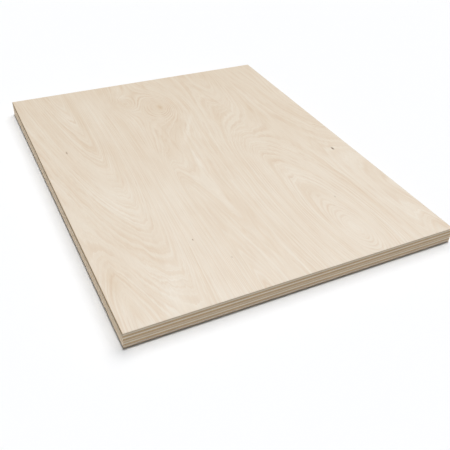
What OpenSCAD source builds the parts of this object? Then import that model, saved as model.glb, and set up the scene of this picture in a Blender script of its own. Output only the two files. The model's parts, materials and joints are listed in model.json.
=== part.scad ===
// Plywood sheet: a trimmed panel of eleven-ply birch multiplex, lying flat.
//
// The sheet is a stack of thin veneers glued face to face. The grain of each veneer
// crosses that of its neighbours, so every second ply shows end grain on a given edge.
// The origin is at the middle of the underside. +Z is up, through the thickness.
// +Y runs along the grain of the two outer faces, and +X runs across it.

/* [Sheet] */
// Width of the sheet, across the grain of its faces
sheet_w = 300; // [100:10:1250]
// Length of the sheet, along the grain of its faces
sheet_l = 380; // [100:10:2500]
// Width of the small flat that sanding leaves on the arris round the face
arris_w = 0.3; // [0.1:0.1:0.5]
// Width of the bevel on the arris round the back, which the saw breaks as it leaves
lower_arris_w = 0.5; // [0.1:0.1:1.1]

/* [Plies] */
// Thickness of the face veneer, the top ply, after sanding
face_veneer_t = 0.9; // [0.7:0.05:1.6]
// Thickness of each ply whose grain runs across the sheet
cross_ply_t = 1.32; // [1:0.01:2]
// Thickness of each inner ply whose grain runs along the sheet
long_ply_t = 1.85; // [1:0.01:2.5]
// Thickness of the one inner long ply that is peeled thinner, just below the middle
slim_ply_t = 0.75; // [0.5:0.01:2]
// Thickness of the back veneer, the bottom ply, after sanding
back_veneer_t = 1.2; // [1.15:0.05:1.6]

/* [Hidden] */

// The plies are numbered from the top down, so ply 1 is the face veneer.
ply_t = [
  face_veneer_t, cross_ply_t, long_ply_t, cross_ply_t, long_ply_t, cross_ply_t,
  slim_ply_t, cross_ply_t, long_ply_t, cross_ply_t, back_veneer_t,
];

// Height of a ply's underside: the sum of the thicknesses of the plies below it.
function ply_z(number) = number >= len(ply_t) ? 0 : ply_t[number] + ply_z(number + 1);

// One rectangular veneer of the stack, with square edges.
module ply(number) {
  translate([-sheet_w / 2, -sheet_l / 2, ply_z(number)])
    cube([sheet_w, sheet_l, ply_t[number - 1]]);
}

// Section of an outer veneer: a long rectangle with its two top corners cut back by flat_w.
module eased_section(width, thickness, flat_w) {
  polygon([
    [-width / 2, 0],
    [width / 2, 0],
    [width / 2, thickness - flat_w],
    [width / 2 - flat_w, thickness],
    [-width / 2 + flat_w, thickness],
    [-width / 2, thickness - flat_w],
  ]);
}

// An outer veneer, standing on z = 0, with a flat all round its top.
// It is the solid that two crossing extrusions of the eased section share.
module eased_veneer(thickness, flat_w) {
  intersection() {
    rotate([90, 0, 0])
      linear_extrude(height = sheet_l, center = true)
        eased_section(sheet_w, thickness, flat_w);
    rotate([90, 0, 90])
      linear_extrude(height = sheet_w, center = true)
        eased_section(sheet_l, thickness, flat_w);
  }
}

// The top ply: clear birch veneer with its grain along the sheet.
module face_veneer() {
  color("#e8dac5")
    translate([0, 0, ply_z(1)])
      eased_veneer(face_veneer_t, arris_w);
}

// The bottom ply: a like veneer turned over, so that its bevel is below.
module back_veneer() {
  color("#e3d2ba")
    translate([0, 0, back_veneer_t])
      mirror([0, 0, 1])
        eased_veneer(back_veneer_t, lower_arris_w);
}

// An inner ply with its grain along Y: it shows end grain on the front edge.
module long_ply(number) {
  color("#9b8870") ply(number);
}

// An inner ply with its grain along X: it shows long grain on the front edge.
module cross_ply(number) {
  color("#c2b39b") ply(number);
}

face_veneer();
cross_ply(2);  // cross_ply_2
long_ply(3);  // long_ply_3
cross_ply(4);  // cross_ply_4
long_ply(5);  // long_ply_5
cross_ply(6);  // cross_ply_6
long_ply(7);  // long_ply_7
cross_ply(8);  // cross_ply_8
long_ply(9);  // long_ply_9
cross_ply(10);  // cross_ply_10
back_veneer();
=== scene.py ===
"""The finished plywood sheet: sawn veneers, birch figure, and the stage they are shown on."""

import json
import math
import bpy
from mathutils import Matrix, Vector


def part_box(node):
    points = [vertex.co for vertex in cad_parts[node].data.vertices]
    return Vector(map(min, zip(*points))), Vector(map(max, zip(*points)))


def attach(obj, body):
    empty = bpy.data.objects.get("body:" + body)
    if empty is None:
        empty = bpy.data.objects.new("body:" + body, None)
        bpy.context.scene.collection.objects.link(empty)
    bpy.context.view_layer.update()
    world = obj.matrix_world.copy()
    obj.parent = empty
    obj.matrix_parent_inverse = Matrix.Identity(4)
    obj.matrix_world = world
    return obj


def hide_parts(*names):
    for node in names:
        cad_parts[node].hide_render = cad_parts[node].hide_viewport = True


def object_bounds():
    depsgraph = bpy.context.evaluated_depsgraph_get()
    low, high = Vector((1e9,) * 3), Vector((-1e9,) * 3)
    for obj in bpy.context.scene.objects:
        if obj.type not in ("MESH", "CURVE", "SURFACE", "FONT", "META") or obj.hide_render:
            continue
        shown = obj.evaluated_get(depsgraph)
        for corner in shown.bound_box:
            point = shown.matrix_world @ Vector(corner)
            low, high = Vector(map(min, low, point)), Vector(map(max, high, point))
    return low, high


bl_info = {
    "name": "Plywood Sheet",
    "version": (1, 0, 0),
    "blender": (4, 5, 0),
    "location": "View3D > Sidebar > Plywood",
    "description": "Builds a sheet of birch plywood out of sawn veneers, with its stage",
    "category": "Object",
}

import bpy
import bmesh
from bpy.props import FloatProperty, FloatVectorProperty, IntProperty, PointerProperty
from mathutils import Matrix, Vector, noise

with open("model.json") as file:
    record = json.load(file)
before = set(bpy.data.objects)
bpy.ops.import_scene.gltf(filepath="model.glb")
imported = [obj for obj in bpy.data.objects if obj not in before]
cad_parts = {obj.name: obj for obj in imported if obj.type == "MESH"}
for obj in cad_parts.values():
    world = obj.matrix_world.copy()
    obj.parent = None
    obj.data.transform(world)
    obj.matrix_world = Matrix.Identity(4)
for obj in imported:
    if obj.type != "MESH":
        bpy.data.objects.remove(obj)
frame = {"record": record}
CAD_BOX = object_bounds()

MM = 0.001
ROOT = "root"

# The plies, from the top down, and the record's slot that each takes its finish from.
SLOT_OF = {part["node"]: part["material_slot"] for part in frame["record"]["subparts"]}
PLIES = sorted(SLOT_OF, key=lambda node: -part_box(node)[1].z)

# The lowest and the highest corner of the sheet.
SHEET_LOW, SHEET_HIGH = CAD_BOX

# --- the shape of the edges ---------------------------------------------------------------

# Materials of a ply, in the order in which a piece holds them. An inner ply has the first
# two, the face veneer has three, and the back veneer has all four; the fourth is the dark
# brown of its lower arris, painted shade.
END, SIDE, FACE, SHADED_ARRIS = range(4)

# Rows of the mesh over the sawn edge of an outer and of an inner ply.
OUTER_ROWS = 3
INNER_ROWS = 4

# The last stride along a row of mesh lines may be this much longer than the others.
LAST_STRIDE = 1.5

# Edges of the mesh that turn by more than this are shown sharp.
SHARP_ANGLE = math.radians(50)

# The arris of the face, rounded by sanding: angles at which its curve has a row of points.
ARRIS_ANGLES = (0, 22.5, 45, 67.5, 90)

# The arris that the saw breaks: shares of its width and of its height, from the underside.
BREAK_CURVE = ((1.0, 0.0), (0.8, 0.35), (0.4, 0.75), (0.0, 1.0))

# Mesh lines near a pin knot: how far they reach, and how close they lie across and along
# the sheet, as shares of the knot's half size.
KNOT_REACH = 2.0
KNOT_STEP_ACROSS = 1 / 2
KNOT_STEP_ALONG = 1 / 3

# How much more quickly the pit of a knot falls off than its colour.
PIT_FALL = 2.0

# The marks of the saw: how far they lean for each millimetre up, and how much of their
# depth is the same all over, comes with the teeth, and is fine roughness.
TOOTH_LEAN = 0.35
EVEN_SHARE, TOOTH_SHARE, FINE_SHARE = 0.5, 0.4, 0.25

# Cycles of the roughness in a millimetre along an edge and up it, and where its draws start.
FINE_CYCLES, FINE_START = (1.9, 1.3), 7.0

# The same for side grain that is torn, and how deep the tears are: their mean and swing.
TEAR_CYCLES, TEAR_START = (0.11, 2.2), 19.0
TEAR_MEAN, TEAR_SWING = 0.35, 0.9

# What the back veneer adds to the seed of the shapes.
BACK_SEED = 40

# --- the figure of the wood ---------------------------------------------------------------

# Growth rings crossed for each millimetre across the sheet, where the log has no swells.
RING_SLOPE = 0.12

# Rings by which the back veneer's figure starts further into the log than the face's.
BACK_DEPTH = 20.0

# Bends of the rings, each a noise: how wide its blots are across the sheet and how long
# along it, in millimetres; its detail; and by how many rings it swings.
RING_BENDS = {
    "Wander": (45, 160, 2.0, 1.9),
    "Ripple": (10, 60, 2.0, 0.7),
    "Feather": (1.1, 36, 1.0, 0.24),
    "Strand": (3.4, 70, 1.0, 0.5),
}

# Tones of the rings, and the threads between them: width of the noise's blots in rings,
# their length in millimetres, its detail and its roughness.
RING_TONES = (2.0, 150, 3.0, 0.6)
RING_THREADS = (1 / 2.6, 160, 3.0, 0.65)

# Stretch of those two noises over which pale wood turns into warm wood.
PALE_TO_WARM = (0.32, 0.68)

# Calm places, where the threads are faint: size of the blots, the stretch of noise over
# which a calm place ends, and the contrast of the threads inside and outside.
CALM_BLOTS = (24, 70)
CALM_END = (0.35, 0.62)
THREAD_CONTRAST = (0.45, 1.35)

# The thin line in each ring: the shares of the ring at which it starts and is darkest. Then
# the blots of noise that break the line, and the stretch over which it comes back.
LINE_START, LINE_PEAK = 0.4, 0.95
BREAK_BLOTS = (14, 35)
BREAK_END = (0.4, 0.62)

# Fibres, open pores and soft clouds: the width and length of their blots in millimetres,
# and the detail of the noise. Then the stretches of noise over which a pore and a cloud form.
COARSE_FIBRES = (1.6, 28, 2.0)
FINE_FIBRES = (0.32, 7, 2.0)
PORES = (0.22, 1.8, 0.0)
CLOUDS = (30, 90, 3.0)
PORE_EDGE = (0.66, 0.8)
CLOUD_EDGE = (0.35, 0.7)

# How dark and how light the fibres make a sanded face, how rough it is in its dark and in
# its light fibres, and how deep its pores lie beside them.
STREAK_TONES = (0.965, 1.025)
STREAK_ROUGHNESS = (0.62, 0.5)
PORE_SINK = 0.6

# Swells in the log that the face veneer was peeled through, in millimetres from the middle
# of the sheet: place across, place along, half width, half length; how far each leans
# across for a millimetre along; the growth rings that it is high; and, for those that
# aren't fully rounded, how rounded the crest is, from 1 (a keen edge) to 2.
FACE_SWELLS = (
    (-1, 118, 13, 20, 0.0, -4.5),
    (-1, 118, 28, 45, 0.0, -5.0),
    (-36, 139, 8, 12, 0.0, 3.0),
    (-36, 142, 18, 26, 0.0, 4.0),
    (-104, 230, 42, 385, -0.05, -25.0),
    (-104, 230, 14, 300, -0.05, -4.0, 1.3),
    (-37, -230, 20, 190, 0.0, 12.0, 1.6),
    (66, -138, 36, 130, -0.05, 16.0),
    (200, -190, 80, 240, 0.0, -18.0),
    (-38, -50, 10, 60, 0.0, 5.0, 1.6),
    (54, -15, 18, 46, 0.0, 3.0, 1.6),
    (73, -158, 12, 26, 0.0, 4.0),
    (80, 240, 18, 125, 0.06, -8.0, 1.6),
    (152, 70, 20, 80, 0.0, 4.0),
    (142, -230, 14, 70, 0.0, 8.0, 1.5),
    (-136, -200, 10, 60, 0.0, 6.0, 1.3),
)
BACK_SWELLS = (
    (40, -60, 32, 140, 0.0, 14.0, 1.6),
    (-70, 90, 24, 110, 0.04, -12.0, 1.4),
    (-110, -120, 22, 80, 0.0, 9.0, 1.6),
    (95, 120, 18, 70, -0.05, 7.0, 1.3),
)

# How strongly the ring lines show away from any eye. Eyes are placed in the same way as the
# swells, and their last number is how much more strongly the lines show there.
LINE_STRENGTH = 0.25
FACE_EYES = (
    (-1, 118, 18, 27, 0.0, 0.8),
    (-38, 140, 18, 25, 0.0, 0.25),
    (66, -40, 35, 50, 0.0, 0.15),
    (73, -158, 16, 30, 0.0, 0.2),
)

# Lighter and darker patches of the face, placed in the same way. The last number is how
# much lighter (or, below zero, darker) the middle of the patch is.
FACE_PATCHES = (
    (-1, 117.5, 2.6, 5.5, 0.0, -0.165),
    (-1, 119, 10, 17, 0.0, -0.05),
    (-36, 139, 2.5, 4, 0.0, -0.06),
    (0, 176, 1.8, 7, 0.0, -0.105),
    (-32, 157, 7, 5, 0.4, 0.075),
    (-31, 180, 4, 8, 0.3, 0.045),
    (-52, 179, 6, 9, 0.2, -0.038),
    (-75, 140, 8, 50, 0.0, 0.038),
    (-105, 130, 6, 40, 0.0, 0.03),
    (-92, 132, 3.5, 40, 0.0, -0.06),
    (-40, 97, 5, 20, 0.3, 0.038),
    (-17.5, 50, 1.2, 30, 0.0, -0.06),
    (-26, 52, 1.5, 18, 0.0, -0.045),
    (78, 178, 8, 10, 0.0, -0.045),
    (61, 125, 1.4, 42, -0.19, -0.06),
    (105, 118, 1.2, 24, 0.0, 0.06),
    (112, 65, 2, 20, -0.1, 0.038),
    (49, 27, 8, 4, 0.0, -0.045),
    (58, 34, 7, 2, -0.3, 0.045),
    (79, 28, 8, 3, -0.5, -0.045),
    (68, -97, 8, 10, 0.0, -0.038),
    (-95, -150, 9, 38, 0.4, 0.053),
    (-106, -50, 7, 35, -0.3, 0.03),
    (-140, -138, 4, 14, 0.0, -0.075),
    (-134, -172, 4, 14, -0.2, -0.053),
    (147, -182, 6, 7, 0.0, -0.075),
    (-19.5, -121, 1.2, 5, 0.0, -0.075),
    (-9, -153, 1.2, 12, -0.2, -0.06),
    (24, 115, 1.2, 28, 0.0, 0.06),
    (15, 72, 2.2, 18, 0.55, 0.055),
    (-2, 45, 3.2, 15, 0.45, 0.07),
    (-7.5, 5, 2.5, 32, 0.05, 0.068),
    (-8.5, -42, 2.3, 17, 0.05, 0.068),
    (-14, -88, 3.4, 28, 0.03, 0.04),
    (-132, -110, 16, 75, 0.0, -0.028),
    (-62, -150, 16, 50, 0.1, 0.02),
    (118, 20, 30, 60, 0.0, -0.012),
)

# Blue varies more than red from one patch of wood to the next.
PATCH_TINT = (0.6, 1.0, 1.5)

# How strongly a patch shows in pale threads and in warm ones.
PATCH_SHOWS = (1.4, 0.6)

# Pin knots in the face, in millimetres from the middle of the sheet: place across, place
# along, half width, half length; and how dark and deep each is, from 0 to 1.
PIN_KNOTS = (
    (130.0, -34.5, 1.1, 2.6, 1.0),
    (-122.8, 59.0, 0.8, 3.0, 0.62),
    (-64.0, -115.0, 0.5, 1.2, 0.75),
    (81.8, -108.8, 0.4, 1.6, 0.6),
    (-44.2, -147.5, 0.4, 1.0, 0.6),
)

# Strengths of a knot between which its colour comes in.
KNOT_EDGE = (0.05, 0.95)

# --- the tones of the edges ---------------------------------------------------------------

# How light each ply's side grain and end grain is, from the top down. The plies differ in
# tone, and the lowest ones are made lighter still: painted light against the shade near the
# floor.
SIDE_TONES_AND_PAINTED_LIGHT = (0.6, 0.9, 0.88, 1.02, 0.98, 0.95, 1.05, 1.05, 1.1, 1.09, 1.12)
END_TONES_AND_PAINTED_LIGHT = (0.78, 0.26, 0.83, 0.97, 0.86, 1.09, 0.89, 1.2, 0.95, 1.28, 1.2)

# Powers of the tone that the red, green and blue of an edge follow.
BROWNING = (0.93, 1.0, 1.17)

# Plies whose side grain is browner than the rest: how far towards the colour of end grain.
SIDE_TOAST = {1: 0.8, 3: 0.25, 6: 0.4}

# Layers in the grain of a sawn edge, each a noise: how far its blots reach up the edge and
# along it, in millimetres; its detail; and how dark and how light it makes the wood.
SIDE_LAYERS = {
    "fibres": (0.35, 11, 3.0, 0.95, 1.03),
    "saw": (6, 1.1, 2.0, 0.97, 1.03),
    "clouds": (8, 30, 2.0, 0.97, 1.03),
}
END_LAYERS = {
    "rings": (0.5, 14, 2.0, 0.94, 1.05),
    "saw": (3, 0.9, 2.0, 0.95, 1.04),
    "clouds": (10, 22, 2.0, 0.94, 1.05),
}

# How much the saw shows in the relief of side grain, beside the fibres.
SAW_LIFT = 0.5

# Pores of the end grain: their size and detail, the stretch of noise over which one forms,
# how dark it is, and how deep it lies beside the marks of the saw.
END_PORES = (0.16, 0.16, 0.0)
END_PORE_EDGE = (0.62, 0.75)
END_PORE_TONE = 0.82
END_PORE_SINK = 0.4

# Where the grain's noise starts on each kind of edge: a step for every ply down, and a place
# of its own for the lower arris that the saw breaks, which is painted dark as shade.
END_START_STEP = 3.7
SIDE_START_STEP = 5.1
BROKEN_START = 90.0


# --- settings -----------------------------------------------------------------------------


def linear(red, green, blue):
    """A display colour, 0 to 255 a channel, as the linear colour that a shader takes."""
    def channel(value):
        value /= 255
        return value / 12.92 if value <= 0.04045 else ((value + 0.055) / 1.055) ** 2.4
    return (channel(red), channel(green), channel(blue), 1.0)


def length_property(name, description, millimetres):
    """A length, given in millimetres and kept in metres."""
    return FloatProperty(
        name=name, description=description, default=millimetres * MM,
        min=0.0, precision=5, subtype="DISTANCE", unit="LENGTH")


def colour_property(name, description, red, green, blue):
    """A colour, given as it is displayed."""
    return FloatVectorProperty(
        name=name, description=description, default=linear(red, green, blue),
        min=0.0, max=1.0, size=4, subtype="COLOR")


def angle_property(name, description, degrees):
    """An angle, given in degrees and kept in radians."""
    return FloatProperty(
        name=name, description=description, default=math.radians(degrees), subtype="ANGLE")


def strength_property(name, description, strength):
    """The strength of a light."""
    return FloatProperty(name=name, description=description, default=strength, min=0.0)


def place_property(name, description, place):
    """A point, in metres."""
    return FloatVectorProperty(
        name=name, description=description, default=place, subtype="TRANSLATION", unit="LENGTH")


class SheetShape(bpy.types.PropertyGroup):
    """Sizes of the sawn and sanded shapes."""

    arris: length_property("Arris", "Radius that sanding leaves round the face", 0.4)
    undercut_w: length_property("Undercut", "How far the saw breaks in under the sheet", 0.5)
    undercut_h: length_property("Undercut height", "How high the break reaches", 0.5)
    face_step: length_property("Face step", "Spacing of the mesh lines over a face", 1.4)
    edge_step: length_property("Edge step", "Spacing of the mesh columns round a ply", 0.8)
    tooth_depth: length_property("Tooth depth", "Depth of the marks that the saw leaves", 0.03)
    tooth_pitch: length_property("Tooth pitch", "Distance from one saw mark to the next", 1.7)
    fibre_recess: length_property("Fibre recess", "How far side grain tears back", 0.04)
    knot_depth: length_property("Knot depth", "Depth of a pin knot in the face", 0.35)
    seed: IntProperty(name="Seed", description="Start of the random draws", default=11, min=0)


class WoodColours(bpy.types.PropertyGroup):
    """Colours of the bare birch, and the dark brown of painted shade on the lower arris."""

    pale: colour_property("Pale wood", "Early wood of the face", 232, 223, 209)
    warm: colour_property("Warm wood", "Late wood of the face", 221, 204, 183)
    line: colour_property("Ring line", "Thin line where a ring ends", 210, 184, 157)
    mellow: colour_property("Mellow", "Tint that deepens towards the far end", 248, 245, 240)
    knot: colour_property("Knot", "Heart of a pin knot", 112, 82, 50)
    back: colour_property("Back veneer", "Early wood of the back", 230, 213, 190)
    side: colour_property("Side grain", "Veneer cut along its grain", 238, 227, 209)
    end: colour_property("End grain", "Veneer cut across its grain", 225, 195, 156)
    # A dark brown, painted shade: it darkens the lower arris where the sheet meets the floor.
    broken: colour_property("Broken arris", "Shaded wood of the lower arris", 136, 119, 99)


class StageSettings(bpy.types.PropertyGroup):
    """Floor, light and camera."""

    floor: colour_property("Floor", "Colour of the floor", 247, 248, 249)
    floor_size: length_property("Floor size", "Side of the square floor", 8000.0)
    sky: strength_property("Sky", "Strength of the light all round", 0.055)
    key: strength_property("Key", "Strength of the light overhead", 1.64)
    key_tint: colour_property("Key tint", "Colour of the key", 251, 253, 255)
    key_spread: angle_property("Key spread", "Width of the key, seen from the sheet", 5.9)
    key_back: angle_property("Key back", "How far the key leans to the far side", 5.5)
    key_right: angle_property("Key right", "How far the key leans to the right", 3.2)
    fill: strength_property("Fill", "Strength of the broad light", 1.75)
    fill_tint: colour_property("Fill tint", "Colour of the broad light", 255, 252, 250)
    fill_spread: angle_property("Fill spread", "Width of the fill, seen from the sheet", 46.0)
    fill_back: angle_property("Fill back", "How far the fill leans to the far side", 22.0)
    fill_right: angle_property("Fill right", "How far the fill leans to the right", 25.0)
    side: strength_property("Side", "Strength of the low light", 0.41)
    side_tint: colour_property("Side tint", "Colour of the low light", 251, 254, 255)
    side_spread: angle_property("Side spread", "Width of the low light, from the sheet", 50.0)
    side_front: angle_property("Side front", "How far the low light leans to the front", 20.0)
    side_left: angle_property("Side left", "How far the low light leans to the left", 72.0)
    lamp_height: length_property("Lamp height", "Height at which the lamps are drawn", 2000.0)
    camera_place: place_property(
        "Camera place", "Where the camera stands", (-0.2251, -0.4705, 0.3297))
    camera_aim: place_property(
        "Camera aim", "Point on the floor that the camera looks at", (-0.0214, -0.0904, 0.0))
    camera_roll: angle_property("Camera roll", "Tilt of the picture", 3.02)
    camera_near: length_property("Camera near", "Nearest point that the camera sees", 10.0)
    camera_sensor: FloatProperty(
        name="Sensor", description="Width of the camera's sensor", default=36.0, unit="CAMERA")
    camera_lens: FloatProperty(
        name="Lens", description="Focal length of the camera", default=48.6, unit="CAMERA")


# --- meshes -------------------------------------------------------------------------------


def spaced(low, high, step, close_ups=()):
    """Positions from low to high, a step apart, and closer within reach of each close-up.

    A close-up is a centre, a reach on either side of it, and a finer step.
    """
    places = [low]
    while True:
        here = places[-1]
        stride = step
        for centre, reach, fine in close_ups:
            if centre - reach - step < here < centre + reach:
                stride = min(stride, fine)
        if here + stride * LAST_STRIDE > high:
            places.append(high)
            return places
        places.append(here + stride)


def rectangle_columns(xs, ys):
    """The points round a rectangle, anticlockwise, each with its direction outward."""
    columns = [(xs[0], ys[0], -1, -1)]
    columns += [(x, ys[0], 0, -1) for x in xs[1:-1]]
    columns += [(xs[-1], ys[0], 1, -1)]
    columns += [(xs[-1], y, 1, 0) for y in ys[1:-1]]
    columns += [(xs[-1], ys[-1], 1, 1)]
    columns += [(x, ys[-1], 0, 1) for x in reversed(xs[1:-1])]
    columns += [(xs[0], ys[-1], -1, 1)]
    columns += [(xs[0], y, -1, 0) for y in reversed(ys[1:-1])]
    return columns


def roughness_at(along, height, cycles, start):
    """Noise at a point of an edge, from about -1 to 1."""
    along_cycles, up_cycles = cycles
    return noise.noise(Vector((along * along_cycles, height * up_cycles, start)))


def saw_relief(shape, column, z, grain_along_y, seed):
    """How far a sawn edge lies behind its nominal face at one point."""
    x, y, out_x, out_y = column
    along = (x + y) / MM
    height = z / MM
    leaning = along + TOOTH_LEAN * height
    teeth = noise.noise(Vector((leaning * MM / shape.tooth_pitch, seed, 0.0)))
    fine = roughness_at(along, height, FINE_CYCLES, seed + FINE_START)
    relief = shape.tooth_depth * (EVEN_SHARE + TOOTH_SHARE * teeth + FINE_SHARE * fine)
    side_grain = (out_x != 0) if grain_along_y else (out_y != 0)
    if side_grain:
        torn = roughness_at(along, height, TEAR_CYCLES, seed + TEAR_START)
        relief += shape.fibre_recess * max(0.0, TEAR_MEAN + TEAR_SWING * torn)
    return max(0.0, relief)


def ring(mesh, columns, z, outset, relief, share=1.0):
    """Vertices round the columns at one height, moved outward, less a share of the relief."""
    vertices = []
    for column in columns:
        x, y, out_x, out_y = column
        shift = outset - relief(column, z) * share
        vertices.append(mesh.verts.new((x + shift * out_x, y + shift * out_y, z)))
    return vertices


def on_x_side(a, b):
    """True where the stretch from column a to column b is on the left or right edge."""
    return abs(b[0] - a[0]) < abs(b[1] - a[1])


def bridge(mesh, upper, lower, columns, x_slot, y_slot):
    """Faces between two rings, with a material for the left and right edges and one for the
    front and rear ones."""
    count = len(columns)
    for i in range(count):
        j = (i + 1) % count
        face = mesh.faces.new((upper[i], lower[i], lower[j], upper[j]))
        face.material_index = x_slot if on_x_side(columns[i], columns[j]) else y_slot
        face.smooth = True


def add_object(name, data):
    """A new object of the data, in the scene."""
    item = bpy.data.objects.new(name, data)
    bpy.context.scene.collection.objects.link(item)
    return item


def finished(name, mesh, materials):
    """An object of the mesh, with its normals facing outward and its arrises crisp."""
    bmesh.ops.recalc_face_normals(mesh, faces=mesh.faces)
    data = bpy.data.meshes.new(name)
    mesh.to_mesh(data)
    mesh.free()
    for material in materials:
        data.materials.append(material)
    data.set_sharp_from_angle(angle=SHARP_ANGLE)
    return add_object(name, data)


def put_in_place(piece, node):
    """Puts a piece in its ply's stead."""
    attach(piece, ROOT)
    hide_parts(node)


def rounded_arris(shape):
    """How far in and how far back each row of the sanded arris lies, from face to edge."""
    radius = shape.arris
    angles = [math.radians(angle) for angle in ARRIS_ANGLES]
    return [(radius * (1 - math.sin(angle)), radius * (1 - math.cos(angle))) for angle in angles]


def broken_arris(shape):
    """The same for the arris that the saw breaks as it leaves the sheet."""
    return [(shape.undercut_w * inside, shape.undercut_h * back) for inside, back in BREAK_CURVE]


def knot_pit(shape, knots, x, y):
    """How deep the face is pitted at one point."""
    depth = 0.0
    for knot_x, knot_y, half_w, half_l, strength in knots:
        across = (x / MM - knot_x) / half_w
        along = (y / MM - knot_y) / half_l
        fall = PIT_FALL * (across * across + along * along)
        depth += strength * shape.knot_depth * math.exp(-fall)
    return depth


def sanded_face(mesh, shape, xs, ys, z, inward, knots):
    """A flat face, pitted at its knots. Returns the vertices of its rim, anticlockwise."""
    grid = [[mesh.verts.new((x, y, z + inward * knot_pit(shape, knots, x, y))) for x in xs]
            for y in ys]
    for near, far in zip(grid, grid[1:]):
        for col in range(len(xs) - 1):
            face = mesh.faces.new((near[col], near[col + 1], far[col + 1], far[col]))
            face.material_index = FACE
            face.smooth = True
    rim = grid[0] + [row[-1] for row in grid[1:]]
    rim += list(reversed(grid[-1][:-1])) + [row[0] for row in reversed(grid[1:-1])]
    return rim


def outer_ply(name, node, shape, materials, seed, arris, arris_slots, knots=(), face_up=True):
    """A veneer whose outer face is modelled: flat, eased at its arris, pitted at its knots.

    The arris lists how far in and how far back each of its rows lies. The arris slots are
    its materials: on the left and right edges, and on the front and rear ones.
    """
    low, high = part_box(node)
    inset, depth = arris[0][0], arris[-1][1]
    close_x = [(x * MM, half_w * MM * KNOT_REACH, half_w * MM * KNOT_STEP_ACROSS)
               for x, y, half_w, half_l, strength in knots]
    close_y = [(y * MM, half_l * MM * KNOT_REACH, half_l * MM * KNOT_STEP_ALONG)
               for x, y, half_w, half_l, strength in knots]
    xs = spaced(low.x + inset, high.x - inset, shape.face_step, close_x)
    ys = spaced(low.y + inset, high.y - inset, shape.face_step, close_y)
    face_z, inward = (high.z, -1) if face_up else (low.z, 1)

    def relief(column, z):
        return saw_relief(shape, column, z, True, seed)

    mesh = bmesh.new()
    columns = rectangle_columns(xs, ys)
    rings = [sanded_face(mesh, shape, xs, ys, face_z, inward, knots)]
    row_height = (high.z - low.z - depth) / OUTER_ROWS
    wall = [(0.0, depth + row_height * row) for row in range(1, OUTER_ROWS + 1)]
    for inside, back in arris[1:] + wall:
        near_wall = 1.0 - inside / inset
        rings.append(ring(mesh, columns, face_z + inward * back, inset - inside, relief,
                          near_wall))
    for row, (upper, lower) in enumerate(zip(rings, rings[1:]), start=1):
        x_slot, y_slot = arris_slots if row < len(arris) else (SIDE, END)
        bridge(mesh, upper, lower, columns, x_slot, y_slot)
    mesh.faces.new(rings[-1]).material_index = FACE
    return finished(name, mesh, materials)


def inner_ply(name, node, shape, materials, seed, grain_along_y):
    """A veneer inside the stack, of which only its four sawn edges show."""
    low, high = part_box(node)
    xs = spaced(low.x, high.x, shape.edge_step)
    ys = spaced(low.y, high.y, shape.edge_step)
    columns = rectangle_columns(xs, ys)

    def relief(column, z):
        return saw_relief(shape, column, z, grain_along_y, seed)

    mesh = bmesh.new()
    heights = [high.z + (low.z - high.z) * row / INNER_ROWS for row in range(INNER_ROWS + 1)]
    rings = [ring(mesh, columns, z, 0.0, relief) for z in heights]
    x_slot, y_slot = (SIDE, END) if grain_along_y else (END, SIDE)
    for upper, lower in zip(rings, rings[1:]):
        bridge(mesh, upper, lower, columns, x_slot, y_slot)
    mesh.faces.new(rings[0])
    mesh.faces.new(rings[-1])
    return finished(name, mesh, materials)


# --- shader graphs ------------------------------------------------------------------------

# Kinds of socket.
VECTOR = "NodeSocketVector"
VALUE = "NodeSocketFloat"
COLOUR = "NodeSocketColor"

# A fully rounded crest of a swell.
ROUND_CREST = 2.0

# Middle of a noise, and the stretch round it that nearly all of the noise lies in.
MIDDLE = 0.5
MOST = (0.3, 0.7)

# Room for a node in the editor, and the nodes in a row there.
NODE_WIDTH = 190
NODE_HEIGHT = 260
NODES_IN_ROW = 12


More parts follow.
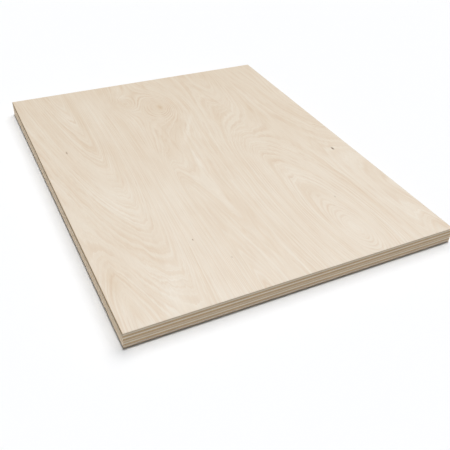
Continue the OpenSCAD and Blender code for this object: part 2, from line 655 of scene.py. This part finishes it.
class Graph:
    """Adds nodes to one node tree, so that a material reads as a list of steps."""

    def __init__(self, tree):
        self.tree = tree
        self.count = 0

    def add(self, kind, inputs=None, **settings):
        """A new node, with its settings made and its inputs fed."""
        node = self.tree.nodes.new(kind)
        row, place_in_row = divmod(self.count, NODES_IN_ROW)
        node.location = (NODE_WIDTH * place_in_row, -NODE_HEIGHT * row)
        self.count += 1
        for key, value in settings.items():
            setattr(node, key, value)
        for key, value in (inputs or {}).items():
            self.feed(node.inputs[key], value)
        return node

    def feed(self, socket, value):
        """Gives a socket a value, or a link if the value comes out of another node."""
        if isinstance(value, bpy.types.NodeSocket):
            self.tree.links.new(value, socket)
        else:
            socket.default_value = value

    def math(self, operation, *values):
        """The result of a sum on plain values."""
        node = self.add("ShaderNodeMath", dict(enumerate(values)), operation=operation)
        return node.outputs[0]

    def vector(self, operation, *values):
        """The result of a sum on vectors or colours."""
        node = self.add("ShaderNodeVectorMath", dict(enumerate(values)), operation=operation)
        return node.outputs["Value" if operation == "DOT_PRODUCT" else "Vector"]

    def scale(self, vector, factor):
        """The vector or colour, times the factor."""
        inputs = {0: vector, "Scale": factor}
        return self.add("ShaderNodeVectorMath", inputs, operation="SCALE").outputs["Vector"]

    def parts(self, vector):
        """The X, Y and Z of a vector."""
        return self.add("ShaderNodeSeparateXYZ", {"Vector": vector}).outputs

    def joined(self, **parts):
        """A vector with the parts that are given, and 0 for the others."""
        return self.add("ShaderNodeCombineXYZ", parts).outputs["Vector"]

    def noise(self, coordinates, width, length, detail=2.0, roughness=0.5):
        """Noise whose blots are so wide across X and so long along Y."""
        stretched = self.vector("MULTIPLY", coordinates, (1 / width, 1 / length, 1.0))
        inputs = {"Vector": stretched, "Scale": 1.0, "Detail": detail, "Roughness": roughness}
        return self.add("ShaderNodeTexNoise", inputs).outputs["Fac"]

    def ramp(self, value, low, high, to_low=0.0, to_high=1.0, smooth=True):
        """Turns low into to_low and high into to_high, and stays there beyond them."""
        inputs = {"Value": value, "From Min": low, "From Max": high,
                  "To Min": to_low, "To Max": to_high}
        kind = "SMOOTHSTEP" if smooth else "LINEAR"
        return self.add("ShaderNodeMapRange", inputs, interpolation_type=kind).outputs["Result"]

    def vary(self, noise_value, low, high):
        """Turns a noise into a value that varies evenly from low to high."""
        return self.ramp(noise_value, *MOST, low, high, smooth=False)

    def mix(self, factor, first, second, blend="MIX"):
        """Mixes two colours. A Mix node's colour sockets are its inputs 6 and 7, and output 2."""
        inputs = {0: factor, 6: first, 7: second}
        node = self.add("ShaderNodeMix", inputs, data_type="RGBA", blend_type=blend)
        return node.outputs[2]

    def group(self, tree, inputs):
        """The outputs of a node group, placed here with values of its own."""
        return self.add("ShaderNodeGroup", inputs, node_tree=tree).outputs


def node_group(name, inputs, outputs, build):
    """The shader node group of that name, which is built the first time it is asked for."""
    if name not in bpy.data.node_groups:
        tree = bpy.data.node_groups.new(name, "ShaderNodeTree")
        for socket_name, kind, default in inputs:
            socket = tree.interface.new_socket(socket_name, in_out="INPUT", socket_type=kind)
            if default is not None:
                socket.default_value = default
        for socket_name, kind in outputs:
            tree.interface.new_socket(socket_name, in_out="OUTPUT", socket_type=kind)
        graph = Graph(tree)
        given = graph.add("NodeGroupInput").outputs
        out = graph.add("NodeGroupOutput").inputs
        for socket_name, value in build(graph, given).items():
            graph.feed(out[socket_name], value)
    return bpy.data.node_groups[name]


def swell_group():
    """One swell in the log: a smooth hill, measured in growth rings."""
    def build(graph, given):
        away = graph.vector("SUBTRACT", given["Coordinates"], given["Centre"])
        along = graph.vector("DOT_PRODUCT", away, (0.0, 1.0, 0.0))
        shift = graph.joined(X=graph.math("MULTIPLY", along, given["Lean"]))
        away = graph.vector("SUBTRACT", away, shift)
        away = graph.vector("DIVIDE", away, given["Half Size"])
        parts = graph.parts(away)
        across = graph.math("POWER", graph.math("ABSOLUTE", parts["X"]), given["Crest"])
        along = graph.math("MULTIPLY", parts["Y"], parts["Y"])
        fall = graph.math("ADD", across, along)
        hill = graph.math("EXPONENT", graph.math("MULTIPLY", fall, -1.0))
        return {"Height": graph.math("MULTIPLY", hill, given["Rings"])}

    return node_group(
        "Swell",
        [("Coordinates", VECTOR, None), ("Centre", VECTOR, None), ("Half Size", VECTOR, None),
         ("Lean", VALUE, 0.0), ("Crest", VALUE, ROUND_CREST), ("Rings", VALUE, 1.0)],
        [("Height", VALUE)], build)


def rings_group():
    """Growth rings: the tone of the ring and the thin line at its end, from its height."""
    def build(graph, given):
        here = given["Coordinates"]
        height = given["Height"]
        for bend, (width, length, detail, swing) in RING_BENDS.items():
            blots = graph.math("SUBTRACT", graph.noise(here, width, length, detail), MIDDLE)
            height = graph.math("ADD", height, graph.math("MULTIPLY", blots, given[bend]))
        flow = graph.joined(X=height, Y=graph.parts(here)["Y"])
        calm = graph.noise(here, *CALM_BLOTS)
        threads = graph.math("SUBTRACT", graph.noise(flow, *RING_THREADS), MIDDLE)
        contrast = graph.ramp(calm, *CALM_END, *THREAD_CONTRAST)
        threads = graph.math("MULTIPLY", threads, contrast)
        part = graph.math("FRACT", height)
        line = graph.math("MULTIPLY", graph.ramp(part, LINE_START, LINE_PEAK),
                          graph.ramp(part, LINE_PEAK, 1.0, 1.0, 0.0))
        unbroken = graph.ramp(graph.noise(here, *BREAK_BLOTS), *BREAK_END)
        return {"Tone": graph.noise(flow, *RING_TONES),
                "Threads": graph.math("ADD", threads, MIDDLE),
                "Line": graph.math("MULTIPLY", line, unbroken)}

    bends = [(bend, VALUE, swing)
             for bend, (width, length, detail, swing) in RING_BENDS.items()]
    return node_group(
        "Growth Rings", [("Coordinates", VECTOR, None), ("Height", VALUE, 0.0)] + bends,
        [("Tone", VALUE), ("Threads", VALUE), ("Line", VALUE)], build)


def fibres_group():
    """Fine fibres, open pores and soft clouds, drawn out along Y, in millimetres."""
    def build(graph, given):
        here = given["Coordinates"]
        coarse = graph.noise(here, *COARSE_FIBRES)
        fine = graph.noise(here, *FINE_FIBRES)
        return {"Streaks": graph.math("DIVIDE", graph.math("ADD", coarse, fine), 2.0),
                "Pores": graph.ramp(graph.noise(here, *PORES), *PORE_EDGE),
                "Clouds": graph.noise(here, *CLOUDS)}

    return node_group(
        "Fibres", [("Coordinates", VECTOR, None)],
        [("Streaks", VALUE), ("Pores", VALUE), ("Clouds", VALUE)], build)


def sanded_birch_group():
    """Sanded rotary-cut birch: flowing rings and fibres, darker and warmer towards the far end.
    """
    def build(graph, given):
        here = given["Coordinates"]
        rings = graph.group(rings_group(), {"Coordinates": here, "Height": given["Height"]})
        fibres = graph.group(fibres_group(), {"Coordinates": here})
        tone = graph.ramp(rings["Tone"], *PALE_TO_WARM, 0.0, given["Tone Depth"])
        threads = graph.ramp(rings["Threads"], *PALE_TO_WARM, 0.0, given["Thread Depth"])
        colour = graph.mix(graph.math("ADD", tone, threads), given["Pale"], given["Warm"])
        clouds = graph.ramp(fibres["Clouds"], *CLOUD_EDGE, 0.0, given["Cloud Depth"])
        colour = graph.mix(clouds, colour, given["Pale"])
        line = graph.math("MULTIPLY", rings["Line"], given["Line Strength"])
        colour = graph.mix(line, colour, given["Line"])
        colour = graph.scale(colour, graph.vary(fibres["Streaks"], *STREAK_TONES))
        pores = graph.math("MULTIPLY", fibres["Pores"], given["Pore Depth"])
        colour = graph.mix(pores, colour, given["Line"])
        # Darker and warmer in a straight ramp from the near end of the sheet to the far end.
        far = graph.ramp(graph.parts(here)["Y"], SHEET_LOW.y / MM, SHEET_HIGH.y / MM,
                         smooth=False)
        colour = graph.mix(far, colour, given["Mellow"], "MULTIPLY")
        sunk = graph.math("MULTIPLY", fibres["Pores"], PORE_SINK)
        return {"Colour": colour, "Threads": rings["Threads"],
                "Roughness": graph.vary(fibres["Streaks"], *STREAK_ROUGHNESS),
                "Relief": graph.math("SUBTRACT", fibres["Streaks"], sunk)}

    return node_group(
        "Sanded Birch",
        [("Coordinates", VECTOR, None), ("Height", VALUE, 0.0),
         ("Line Strength", VALUE, LINE_STRENGTH), ("Tone Depth", VALUE, 0.29),
         ("Thread Depth", VALUE, 0.67), ("Cloud Depth", VALUE, 0.4), ("Pore Depth", VALUE, 0.12),
         ("Pale", COLOUR, None), ("Warm", COLOUR, None), ("Line", COLOUR, None),
         ("Mellow", COLOUR, None)],
        [("Colour", COLOUR), ("Threads", VALUE), ("Roughness", VALUE), ("Relief", VALUE)], build)


def edge_coordinates(graph, given):
    """Up the edge and along it, the same whichever of the four edges it is, and the start."""
    parts = graph.parts(given["Coordinates"])
    return graph.joined(X=parts["Z"], Y=graph.math("ADD", parts["X"], parts["Y"]),
                        Z=given["Start"])


def edge_group(name, build):
    """A group for one kind of sawn edge."""
    return node_group(
        name, [("Coordinates", VECTOR, None), ("Start", VALUE, 0.0), ("Colour", COLOUR, None)],
        [("Colour", COLOUR), ("Relief", VALUE)], build)


def grain_layers(graph, here, layers):
    """The noise of each layer of an edge's grain, and the tone that they make together."""
    noises = {}
    tone = 1.0
    for layer, (height, length, detail, dark, light) in layers.items():
        noises[layer] = graph.noise(here, height, length, detail)
        tone = graph.math("MULTIPLY", tone, graph.vary(noises[layer], dark, light))
    return noises, tone


def side_grain_group():
    """A sawn edge along the grain: long pale fibres, slightly torn."""
    def build(graph, given):
        noises, tone = grain_layers(graph, edge_coordinates(graph, given), SIDE_LAYERS)
        saw = graph.math("MULTIPLY", noises["saw"], SAW_LIFT)
        return {"Colour": graph.scale(given["Colour"], tone),
                "Relief": graph.math("ADD", noises["fibres"], saw)}

    return edge_group("Side Grain", build)


def end_grain_group():
    """A sawn edge across the grain: pricked with pores, with faint rings."""
    def build(graph, given):
        here = edge_coordinates(graph, given)
        noises, tone = grain_layers(graph, here, END_LAYERS)
        pores = graph.noise(here, *END_PORES)
        dark = graph.ramp(pores, *END_PORE_EDGE, 1.0, END_PORE_TONE)
        tone = graph.math("MULTIPLY", tone, dark)
        sunk = graph.math("MULTIPLY", pores, END_PORE_SINK)
        return {"Colour": graph.scale(given["Colour"], tone),
                "Relief": graph.math("SUBTRACT", noises["saw"], sunk)}

    return edge_group("End Grain", build)


# --- materials ----------------------------------------------------------------------------


def new_material(name, specular):
    """A new material, the graph of its nodes, and its shader."""
    material = bpy.data.materials.new(name)
    material.use_nodes = True
    shader = material.node_tree.nodes["Principled BSDF"]
    shader.inputs["Specular IOR Level"].default_value = specular
    return material, Graph(material.node_tree), shader


def millimetres(graph):
    """The point on the sheet, in millimetres from the middle of its underside."""
    return graph.scale(graph.add("ShaderNodeTexCoord").outputs["Object"], 1 / MM)


def raise_fibres(graph, shader, relief, strength, depth):
    """Bumps too fine to model, so many millimetres deep."""
    bump = graph.add("ShaderNodeBump",
                     {"Strength": strength, "Distance": depth * MM, "Height": relief})
    graph.feed(shader.inputs["Normal"], bump.outputs["Normal"])


def with_swell(graph, here, total, x, y, half_w, half_l, lean, rise, crest=ROUND_CREST):
    """The total, with one swell added to it."""
    hill = graph.group(swell_group(), {
        "Coordinates": here, "Centre": (x, y, 0.0), "Half Size": (half_w, half_l, 1.0),
        "Lean": lean, "Crest": crest, "Rings": rise})
    return graph.math("ADD", total, hill["Height"])


def with_swells(graph, here, total, swells):
    """The total, with every swell of a list added to it."""
    for swell in swells:
        total = with_swell(graph, here, total, *swell)
    return total


def veneer_material(name, colours, pale, swells, start=0.0, eyes=(), patches=(), knots=()):
    """A sanded face of birch, with its eyes, patches and pin knots if it has any."""
    material, graph, shader = new_material(name, specular=0.3)
    here = millimetres(graph)
    height = graph.math("MULTIPLY_ADD", graph.parts(here)["X"], RING_SLOPE, start)
    inputs = {"Coordinates": here, "Height": with_swells(graph, here, height, swells),
              "Pale": pale, "Warm": colours.warm, "Line": colours.line,
              "Mellow": colours.mellow}
    if eyes:
        inputs["Line Strength"] = with_swells(graph, here, LINE_STRENGTH, eyes)
    birch = graph.group(sanded_birch_group(), inputs)
    colour = birch["Colour"]
    if patches:
        lightness = with_swells(graph, here, 0.0, patches)
        lightness = graph.math("MULTIPLY", lightness, graph.vary(birch["Threads"], *PATCH_SHOWS))
        tint = graph.vector("ADD", graph.scale(PATCH_TINT, lightness), (1.0, 1.0, 1.0))
        colour = graph.vector("MULTIPLY", colour, tint)
    if knots:
        spots = with_swells(graph, here, 0.0, [
            (x, y, half_w, half_l, 0.0, strength) for x, y, half_w, half_l, strength in knots])
        colour = graph.mix(graph.ramp(spots, *KNOT_EDGE), colour, colours.knot)
    graph.feed(shader.inputs["Base Color"], colour)
    graph.feed(shader.inputs["Roughness"], birch["Roughness"])
    raise_fibres(graph, shader, birch["Relief"], strength=0.35, depth=0.03)
    return material


def edge_material(name, grain_group, colour, start, roughness, specular):
    """A sawn edge of one ply, with the grain of the group."""
    material, graph, shader = new_material(name, specular)
    grain = graph.group(grain_group, {
        "Coordinates": millimetres(graph), "Start": start, "Colour": colour})
    graph.feed(shader.inputs["Base Color"], grain["Colour"])
    shader.inputs["Roughness"].default_value = roughness
    raise_fibres(graph, shader, grain["Relief"], strength=0.5, depth=0.06)
    return material


def end_grain_material(name, colour, start):
    """A sawn edge across the grain, the rougher of the two."""
    return edge_material(name, end_grain_group(), colour, start, roughness=0.85, specular=0.2)


def side_grain_material(name, colour, start):
    """A sawn edge along the grain."""
    return edge_material(name, side_grain_group(), colour, start, roughness=0.75, specular=0.25)


def toned(colour, share):
    """The colour made lighter or darker. The darker it is, the browner."""
    return [channel * share ** power for channel, power in zip(colour, BROWNING)] + [1.0]


def edge_materials(number, colours):
    """The end grain and side grain of one ply, counted from the top down."""
    toast = SIDE_TOAST.get(number, 0.0)
    side = [a + (b - a) * toast for a, b in zip(colours.side, colours.end)]
    # Each ply's tone comes from the tables above; the lowest plies' tones hold painted light.
    return [
        end_grain_material(f"end_grain_{number}", toned(colours.end, END_TONES_AND_PAINTED_LIGHT[number - 1]),
                           number * END_START_STEP),
        side_grain_material(f"side_grain_{number}", toned(side, SIDE_TONES_AND_PAINTED_LIGHT[number - 1]),
                            number * SIDE_START_STEP),
    ]


# --- operators ----------------------------------------------------------------------------


class PLYWOOD_OT_face_veneer(bpy.types.Operator):
    """Build the top ply, with its figured face and its pin knots"""

    bl_idname = "plywood.face_veneer"
    bl_label = "Face veneer"

    def execute(self, context):
        shape = context.scene.plywood_shape
        colours = context.scene.plywood_colours
        face = veneer_material("birch_face", colours, colours.pale, FACE_SWELLS,
                               eyes=FACE_EYES, patches=FACE_PATCHES, knots=PIN_KNOTS)
        materials = edge_materials(1, colours) + [face]
        piece = outer_ply("veneer_face", PLIES[0], shape, materials, shape.seed,
                          rounded_arris(shape), (SIDE, FACE), PIN_KNOTS)
        put_in_place(piece, PLIES[0])
        return {"FINISHED"}


class PLYWOOD_OT_back_veneer(bpy.types.Operator):
    """Build the bottom ply, which lies on the floor"""

    bl_idname = "plywood.back_veneer"
    bl_label = "Back veneer"

    def execute(self, context):
        shape = context.scene.plywood_shape
        colours = context.scene.plywood_colours
        back = veneer_material("birch_back", colours, colours.back, BACK_SWELLS, BACK_DEPTH)
        # The broken lower arris takes a dark brown, painted shade along the sheet's contact line.
        broken = end_grain_material("broken_arris", colours.broken, BROKEN_START)
        materials = edge_materials(len(PLIES), colours) + [back, broken]
        piece = outer_ply("veneer_back", PLIES[-1], shape, materials, shape.seed + BACK_SEED,
                          broken_arris(shape), (SHADED_ARRIS, SHADED_ARRIS), face_up=False)
        put_in_place(piece, PLIES[-1])
        return {"FINISHED"}


def build_inner_plies(context, kind, grain_along_y):
    """Every inner ply whose node name starts with the kind."""
    shape = context.scene.plywood_shape
    colours = context.scene.plywood_colours
    plies = [(number, node) for number, node in enumerate(PLIES, start=1)
             if node.startswith(kind)]
    if not plies:
        raise RuntimeError(f"The record has no {kind} plies to build.")
    for number, node in plies:
        piece = inner_ply(f"ply_{number:02d}_{kind}", node, shape,
                          edge_materials(number, colours), shape.seed + number, grain_along_y)
        put_in_place(piece, node)


class PLYWOOD_OT_long_plies(bpy.types.Operator):
    """Build the inner plies whose grain runs along the sheet"""

    bl_idname = "plywood.long_plies"
    bl_label = "Long plies"

    def execute(self, context):
        build_inner_plies(context, "long", True)
        return {"FINISHED"}


class PLYWOOD_OT_cross_plies(bpy.types.Operator):
    """Build the inner plies whose grain runs across the sheet"""

    bl_idname = "plywood.cross_plies"
    bl_label = "Cross plies"

    def execute(self, context):
        build_inner_plies(context, "cross", False)
        return {"FINISHED"}


def build_floor(settings):
    """A plain pale floor under the sheet."""
    half = settings.floor_size / 2
    mesh = bmesh.new()
    corners = [mesh.verts.new((x * half, y * half, SHEET_LOW.z))
               for x, y in ((-1, -1), (1, -1), (1, 1), (-1, 1))]
    mesh.faces.new(corners)
    data = bpy.data.meshes.new("floor")
    mesh.to_mesh(data)
    mesh.free()
    material, _, shader = new_material("floor_paper", specular=0.0)
    shader.inputs["Base Color"].default_value = settings.floor
    shader.inputs["Roughness"].default_value = 0.9
    data.materials.append(material)
    floor = add_object("floor", data)


def build_lamp(settings, name, back, right):
    """A distant light of the stage, that leans from straight overhead."""
    data = bpy.data.lights.new(name, "SUN")
    data.energy = getattr(settings, name)
    data.color = getattr(settings, f"{name}_tint")[:3]
    data.angle = getattr(settings, f"{name}_spread")
    lamp = add_object(name, data)
    lamp.rotation_euler = (-back, right, 0.0)
    lamp.location = (0.0, 0.0, settings.lamp_height)


def build_light(settings):
    """A key and a fill almost overhead, a low light, and an even sky that looks white."""
    build_lamp(settings, "key", settings.key_back, settings.key_right)
    build_lamp(settings, "fill", settings.fill_back, settings.fill_right)
    build_lamp(settings, "side", -settings.side_front, -settings.side_left)
    world = bpy.data.worlds.new("sky")
    world.use_nodes = True
    graph = Graph(world.node_tree)
    sky = world.node_tree.nodes["Background"]
    sky.inputs["Color"].default_value = (1.0, 1.0, 1.0, 1.0)
    seen = graph.add("ShaderNodeLightPath").outputs["Is Camera Ray"]
    graph.feed(sky.inputs["Strength"],
               graph.ramp(seen, 0.0, 1.0, settings.sky, 1.0, smooth=False))
    bpy.context.scene.world = world


def build_camera(settings):
    """The camera, looking down across the sheet from beyond its near left corner."""
    data = bpy.data.cameras.new("camera")
    data.lens = settings.camera_lens
    data.sensor_width = settings.camera_sensor
    data.clip_start = settings.camera_near
    camera = add_object("camera", data)
    stand = Vector(settings.camera_place)
    forward = Vector(settings.camera_aim) - stand
    turn = forward.to_track_quat("-Z", "Y").to_matrix().to_4x4()
    roll = Matrix.Rotation(settings.camera_roll, 4, "Z")
    camera.matrix_world = Matrix.Translation(stand) @ turn @ roll
    bpy.context.scene.camera = camera


class PLYWOOD_OT_stage(bpy.types.Operator):
    """Build the floor, the light and the camera"""

    bl_idname = "plywood.stage"
    bl_label = "Stage"

    def execute(self, context):
        settings = context.scene.plywood_stage
        build_floor(settings)
        build_light(settings)
        build_camera(settings)
        context.scene.view_settings.view_transform = "Standard"
        return {"FINISHED"}


# --- the add-on ---------------------------------------------------------------------------

# Settings of the scene: their title in the panel, and their class.
SETTINGS = {
    "plywood_shape": ("Shape", SheetShape),
    "plywood_colours": ("Colours", WoodColours),
    "plywood_stage": ("Stage", StageSettings),
}
STEPS = (
    PLYWOOD_OT_stage,
    PLYWOOD_OT_face_veneer,
    PLYWOOD_OT_cross_plies,
    PLYWOOD_OT_long_plies,
    PLYWOOD_OT_back_veneer,
)


class PLYWOOD_PT_sheet(bpy.types.Panel):
    """Sizes, colours and steps of the plywood sheet"""

    bl_label = "Plywood Sheet"
    bl_idname = "PLYWOOD_PT_sheet"
    bl_space_type = "VIEW_3D"
    bl_region_type = "UI"
    bl_category = "Plywood"

    def draw(self, context):
        for group, (title, kind) in SETTINGS.items():
            box = self.layout.box()
            box.label(text=title)
            for name in kind.__annotations__:
                box.prop(getattr(context.scene, group), name)
        for step in STEPS:
            self.layout.operator(step.bl_idname)


CLASSES = (SheetShape, WoodColours, StageSettings) + STEPS + (PLYWOOD_PT_sheet,)


def register():
    for cls in CLASSES:
        bpy.utils.register_class(cls)
    for group, (title, kind) in SETTINGS.items():
        setattr(bpy.types.Scene, group, PointerProperty(name=title, type=kind))


def unregister():
    for group in SETTINGS:
        delattr(bpy.types.Scene, group)
    for cls in reversed(CLASSES):
        bpy.utils.unregister_class(cls)


def main():
    register()
    bpy.ops.plywood.stage()
    bpy.ops.plywood.face_veneer()
    bpy.ops.plywood.cross_plies()
    bpy.ops.plywood.long_plies()
    bpy.ops.plywood.back_veneer()


if __name__ == "__main__":
    main()
